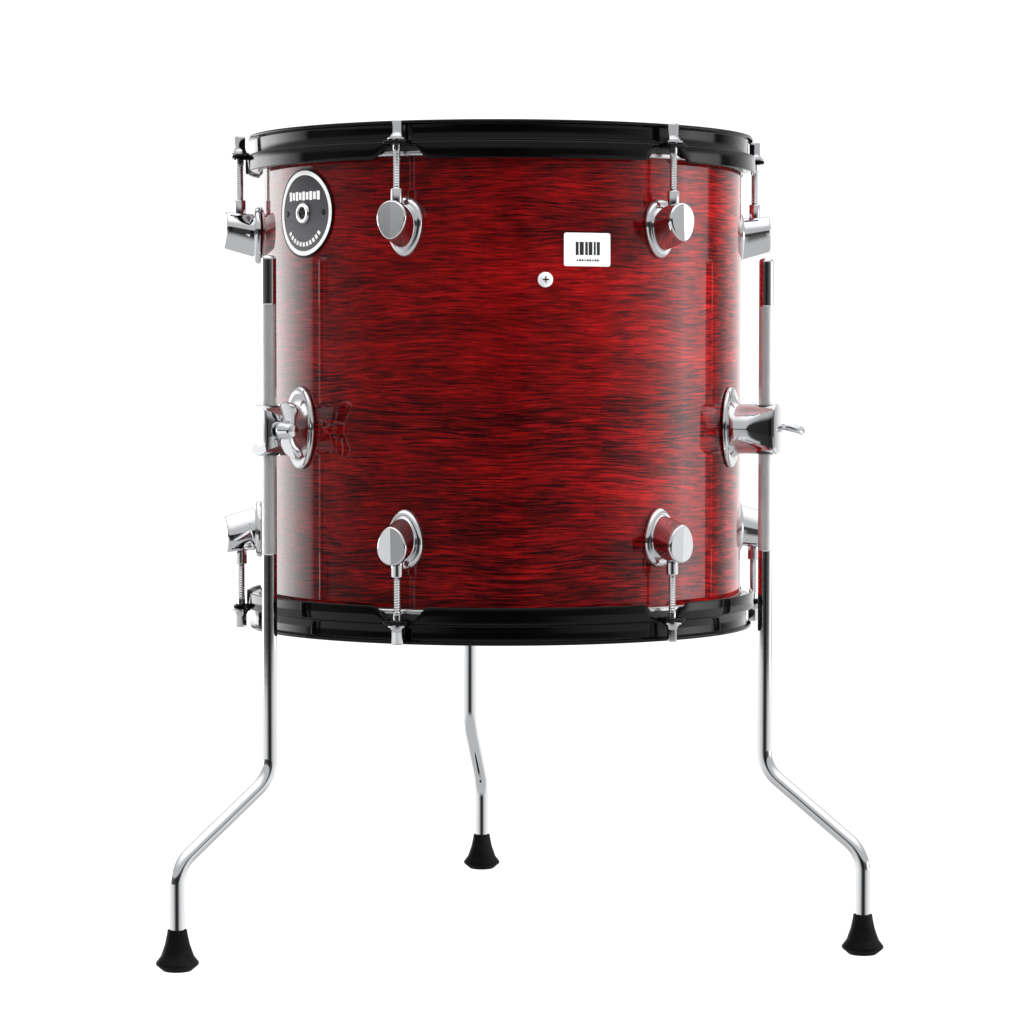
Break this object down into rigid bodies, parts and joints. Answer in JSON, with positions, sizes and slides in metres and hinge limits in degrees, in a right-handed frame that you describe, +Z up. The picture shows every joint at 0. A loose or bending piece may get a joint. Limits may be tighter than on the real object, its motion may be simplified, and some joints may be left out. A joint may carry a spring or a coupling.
{
  "type": "floor tom drum",
  "caption": "Cylindrical floor tom drum in red stained wood with black hoops, chrome lugs and three bent chrome legs on rubber feet.",
  "frame": {"origin": "middle of the footprint at floor level, straight under the middle of the overall bounding box; the drum's own axis stands at x = 0.00135, y = -0.05188", "axes": "+Z up along the drum axis, -Y towards the front of the drum (the face between the two front legs), +X to the right seen from the front"},
  "size_m": [0.5164, 0.4798, 0.5866],
  "materials": {
    "red_wood_lacquer": "deep red stain under clear gloss lacquer, grain running round the shell",
    "badge_dark_grey": "dark grey enamel with a pale ring",
    "small_chrome": "polished",
    "label_white": "white printed label",
    "batter_film_coated": "white coated film",
    "resonant_film_hazy": "hazy film",
    "flesh_hoop_aluminium": "satin",
    "hoop_black_gloss": "black gloss",
    "rod_chrome": "polished, threaded",
    "lug_chrome": "mirror polished",
    "leg_chrome": "polished",
    "bush_black_nylon": "moulded",
    "screw_zinc": "zinc plated",
    "foot_black_rubber": "moulded matt rubber"
  },
  "bodies": {
    "drum": {"shell": "red_wood_lacquer", "badge": "badge_dark_grey", "vent_grommet": "small_chrome", "front_screw": "small_chrome", "label": "label_white", "batter_lug_1": "lug_chrome", "batter_lug_2": "lug_chrome", "batter_lug_3": "lug_chrome", "batter_lug_4": "lug_chrome", "batter_lug_5": "lug_chrome", "batter_lug_6": "lug_chrome", "resonant_lug_1": "lug_chrome", "resonant_lug_2": "lug_chrome", "resonant_lug_3": "lug_chrome", "resonant_lug_4": "lug_chrome", "resonant_lug_5": "lug_chrome", "resonant_lug_6": "lug_chrome", "leg_bracket_1": "leg_chrome", "leg_bracket_2": "leg_chrome", "leg_bracket_3": "leg_chrome", "bracket_screw_1a": "screw_zinc", "bracket_screw_1b": "screw_zinc", "bracket_screw_2a": "screw_zinc", "bracket_screw_2b": "screw_zinc", "bracket_screw_3a": "screw_zinc", "bracket_screw_3b": "screw_zinc"},
    "batter_rim": {"batter_hoop": "hoop_black_gloss", "batter_flesh_hoop": "flesh_hoop_aluminium", "batter_head": "batter_film_coated"},
    "resonant_rim": {"resonant_hoop": "hoop_black_gloss", "resonant_flesh_hoop": "flesh_hoop_aluminium", "resonant_head": "resonant_film_hazy"},
    "batter_rod_1": {"batter_rod_1": "rod_chrome"},
    "batter_rod_2": {"batter_rod_2": "rod_chrome"},
    "batter_rod_3": {"batter_rod_3": "rod_chrome"},
    "batter_rod_4": {"batter_rod_4": "rod_chrome"},
    "batter_rod_5": {"batter_rod_5": "rod_chrome"},
    "batter_rod_6": {"batter_rod_6": "rod_chrome"},
    "resonant_rod_1": {"resonant_rod_1": "rod_chrome"},
    "resonant_rod_2": {"resonant_rod_2": "rod_chrome"},
    "resonant_rod_3": {"resonant_rod_3": "rod_chrome"},
    "resonant_rod_4": {"resonant_rod_4": "rod_chrome"},
    "resonant_rod_5": {"resonant_rod_5": "rod_chrome"},
    "resonant_rod_6": {"resonant_rod_6": "rod_chrome"},
    "leg_bush_1": {"leg_bush_1": "bush_black_nylon"},
    "leg_unit_1": {"leg_1": "leg_chrome", "foot_1": "foot_black_rubber"},
    "wing_bolt_1": {"wing_bolt_1": "leg_chrome"},
    "leg_bush_2": {"leg_bush_2": "bush_black_nylon"},
    "leg_unit_2": {"leg_2": "leg_chrome", "foot_2": "foot_black_rubber"},
    "wing_bolt_2": {"wing_bolt_2": "leg_chrome"},
    "leg_bush_3": {"leg_bush_3": "bush_black_nylon"},
    "leg_unit_3": {"leg_3": "leg_chrome", "foot_3": "foot_black_rubber"},
    "wing_bolt_3": {"wing_bolt_3": "leg_chrome"}
  },
  "joints": [
    {"name": "batter_rim_slide", "type": "slide", "parent": "drum", "child": "batter_rim", "axis": [0, 0, 1], "range_m": [0, 0.008]},
    {"name": "resonant_rim_slide", "type": "slide", "parent": "drum", "child": "resonant_rim", "axis": [0, 0, -1], "range_m": [0, 0.008]},
    {"name": "batter_rod_1_turn", "type": "hinge", "parent": "batter_rim", "child": "batter_rod_1", "pos_m": [-0.19094, -0.05356, 0.5726], "axis": [0, 0, 1], "range_deg": [-5, 2726.3]},
    {"name": "batter_rod_2_turn", "type": "hinge", "parent": "batter_rim", "child": "batter_rod_2", "pos_m": [-0.09334, -0.21925, 0.5726], "axis": [0, 0, 1], "range_deg": [-5, 2726.3]},
    {"name": "batter_rod_3_turn", "type": "hinge", "parent": "batter_rim", "child": "batter_rod_3", "pos_m": [0.09895, -0.21757, 0.5726], "axis": [0, 0, 1], "range_deg": [-5, 2726.3]},
    {"name": "batter_rod_4_turn", "type": "hinge", "parent": "batter_rim", "child": "batter_rod_4", "pos_m": [0.19364, -0.0502, 0.5726], "axis": [0, 0, 1], "range_deg": [-5, 2726.3]},
    {"name": "batter_rod_5_turn", "type": "hinge", "parent": "batter_rim", "child": "batter_rod_5", "pos_m": [0.09604, 0.11549, 0.5726], "axis": [0, 0, 1], "range_deg": [-5, 2726.3]},
    {"name": "batter_rod_6_turn", "type": "hinge", "parent": "batter_rim", "child": "batter_rod_6", "pos_m": [-0.09625, 0.11381, 0.5726], "axis": [0, 0, 1], "range_deg": [-5, 2726.3]},
    {"name": "resonant_rod_1_turn", "type": "hinge", "parent": "resonant_rim", "child": "resonant_rod_1", "pos_m": [-0.19094, -0.05356, 0.2414], "axis": [0, 0, -1], "range_deg": [-5, 2726.3]},
    {"name": "resonant_rod_2_turn", "type": "hinge", "parent": "resonant_rim", "child": "resonant_rod_2", "pos_m": [-0.09334, -0.21925, 0.2414], "axis": [0, 0, -1], "range_deg": [-5, 2726.3]},
    {"name": "resonant_rod_3_turn", "type": "hinge", "parent": "resonant_rim", "child": "resonant_rod_3", "pos_m": [0.09895, -0.21757, 0.2414], "axis": [0, 0, -1], "range_deg": [-5, 2726.3]},
    {"name": "resonant_rod_4_turn", "type": "hinge", "parent": "resonant_rim", "child": "resonant_rod_4", "pos_m": [0.19364, -0.0502, 0.2414], "axis": [0, 0, -1], "range_deg": [-5, 2726.3]},
    {"name": "resonant_rod_5_turn", "type": "hinge", "parent": "resonant_rim", "child": "resonant_rod_5", "pos_m": [0.09604, 0.11549, 0.2414], "axis": [0, 0, -1], "range_deg": [-5, 2726.3]},
    {"name": "resonant_rod_6_turn", "type": "hinge", "parent": "resonant_rim", "child": "resonant_rod_6", "pos_m": [-0.09625, 0.11381, 0.2414], "axis": [0, 0, -1], "range_deg": [-5, 2726.3]},
    {"name": "leg_1_swivel", "type": "hinge", "parent": "drum", "child": "leg_bush_1", "pos_m": [-0.17662, -0.15463, 0.374], "axis": [0, 0, 1], "continuous": true},
    {"name": "leg_1_height", "type": "slide", "parent": "leg_bush_1", "child": "leg_unit_1", "axis": [0, 0, 1], "range_m": [-0.07, 0.065]},
    {"name": "wing_bolt_1_turn", "type": "hinge", "parent": "drum", "child": "wing_bolt_1", "pos_m": [-0.17662, -0.15463, 0.374], "axis": [0.5, -0.866, 0], "continuous": true},
    {"name": "leg_2_swivel", "type": "hinge", "parent": "drum", "child": "leg_bush_2", "pos_m": [0.17932, -0.15463, 0.374], "axis": [0, 0, 1], "continuous": true},
    {"name": "leg_2_height", "type": "slide", "parent": "leg_bush_2", "child": "leg_unit_2", "axis": [0, 0, 1], "range_m": [-0.07, 0.065]},
    {"name": "wing_bolt_2_turn", "type": "hinge", "parent": "drum", "child": "wing_bolt_2", "pos_m": [0.17932, -0.15463, 0.374], "axis": [0.5, 0.866, 0], "continuous": true},
    {"name": "leg_3_swivel", "type": "hinge", "parent": "drum", "child": "leg_bush_3", "pos_m": [0.00494, 0.15359, 0.374], "axis": [0, 0, 1], "continuous": true},
    {"name": "leg_3_height", "type": "slide", "parent": "leg_bush_3", "child": "leg_unit_3", "axis": [0, 0, 1], "range_m": [-0.07, 0.065]},
    {"name": "wing_bolt_3_turn", "type": "hinge", "parent": "drum", "child": "wing_bolt_3", "pos_m": [0.00494, 0.15359, 0.374], "axis": [-0.9998, 0.0175, 0], "continuous": true}
  ],
  "couplings": [
    {"joint": "batter_rod_1_turn", "follows": "batter_rim_slide", "rad_per_m": 5937.1},
    {"joint": "batter_rod_2_turn", "follows": "batter_rim_slide", "rad_per_m": 5937.1},
    {"joint": "batter_rod_3_turn", "follows": "batter_rim_slide", "rad_per_m": 5937.1},
    {"joint": "batter_rod_4_turn", "follows": "batter_rim_slide", "rad_per_m": 5937.1},
    {"joint": "batter_rod_5_turn", "follows": "batter_rim_slide", "rad_per_m": 5937.1},
    {"joint": "batter_rod_6_turn", "follows": "batter_rim_slide", "rad_per_m": 5937.1},
    {"joint": "resonant_rod_1_turn", "follows": "resonant_rim_slide", "rad_per_m": 5937.1},
    {"joint": "resonant_rod_2_turn", "follows": "resonant_rim_slide", "rad_per_m": 5937.1},
    {"joint": "resonant_rod_3_turn", "follows": "resonant_rim_slide", "rad_per_m": 5937.1},
    {"joint": "resonant_rod_4_turn", "follows": "resonant_rim_slide", "rad_per_m": 5937.1},
    {"joint": "resonant_rod_5_turn", "follows": "resonant_rim_slide", "rad_per_m": 5937.1},
    {"joint": "resonant_rod_6_turn", "follows": "resonant_rim_slide", "rad_per_m": 5937.1}
  ]
}
